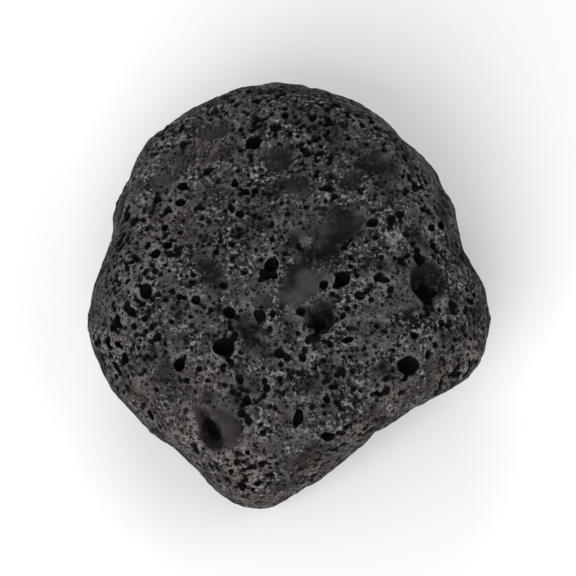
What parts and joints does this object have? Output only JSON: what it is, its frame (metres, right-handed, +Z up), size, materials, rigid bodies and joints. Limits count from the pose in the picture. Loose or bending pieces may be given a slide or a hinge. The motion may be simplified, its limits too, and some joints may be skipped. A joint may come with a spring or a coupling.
{
  "type": "lava rock",
  "caption": "Loose rounded lump of dark grey vesicular basalt, pitted all over with gas bubbles, lying on its flattest side.",
  "frame": {"origin": "on the plane the stone rests on, under the middle of its box", "axes": "+Z up, away from the resting face; -Y towards the low front edge that the broad top face leans to; +X to the right seen from there; +Y along the longest extent"},
  "size_m": [0.0706, 0.0768, 0.0415],
  "materials": {
    "basalt": "matt, worn, pitted with open gas bubbles, dark purplish grey with light worn edges"
  },
  "bodies": {
    "root": {"lava_rock": "basalt"}
  },
  "joints": []
}
